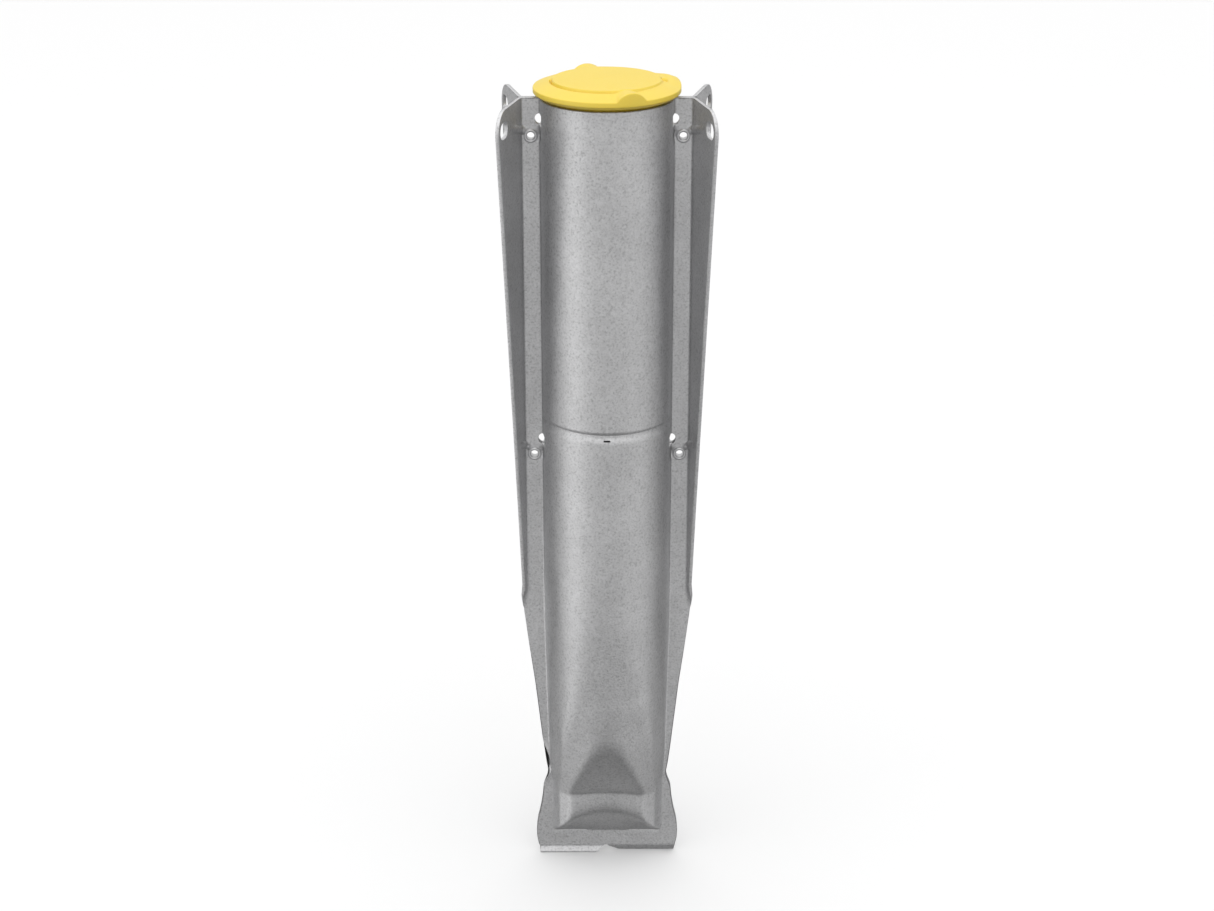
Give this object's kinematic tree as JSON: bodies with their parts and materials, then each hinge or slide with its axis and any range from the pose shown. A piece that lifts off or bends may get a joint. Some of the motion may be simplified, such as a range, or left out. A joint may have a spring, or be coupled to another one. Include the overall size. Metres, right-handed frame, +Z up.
{
  "type": "ground spike for a pole",
  "caption": "Buried sheet-steel socket spike for a round pole: two winged half shells riveted back to back, with a lift-off plastic closing cap.",
  "frame": {"origin": "level with the spike's lower tip, on the pole socket's axis, which is the bottom centre of the whole box", "axes": "+Z up along the socket, -Y towards the front shell, +X to the right seen from the front"},
  "size_m": [0.0866, 0.0606, 0.3539],
  "materials": {
    "sheet_steel": "hot-dip galvanised sheet, fine mottled spangle, satin",
    "rivet_steel": "zinc-plated eyelet, satin",
    "cap_plastic": "moulded yellow plastic, satin"
  },
  "bodies": {
    "spike": {"front_shell": "sheet_steel", "rear_shell": "sheet_steel", "rivet_top_left": "rivet_steel", "rivet_top_right": "rivet_steel", "rivet_mid_left": "rivet_steel", "rivet_mid_right": "rivet_steel"},
    "cap": {"closing_cap": "cap_plastic"}
  },
  "joints": [
    {"name": "cap_lift", "type": "slide", "parent": "spike", "child": "cap", "axis": [0, 0, 1], "range_m": [0, 0.06]}
  ]
}
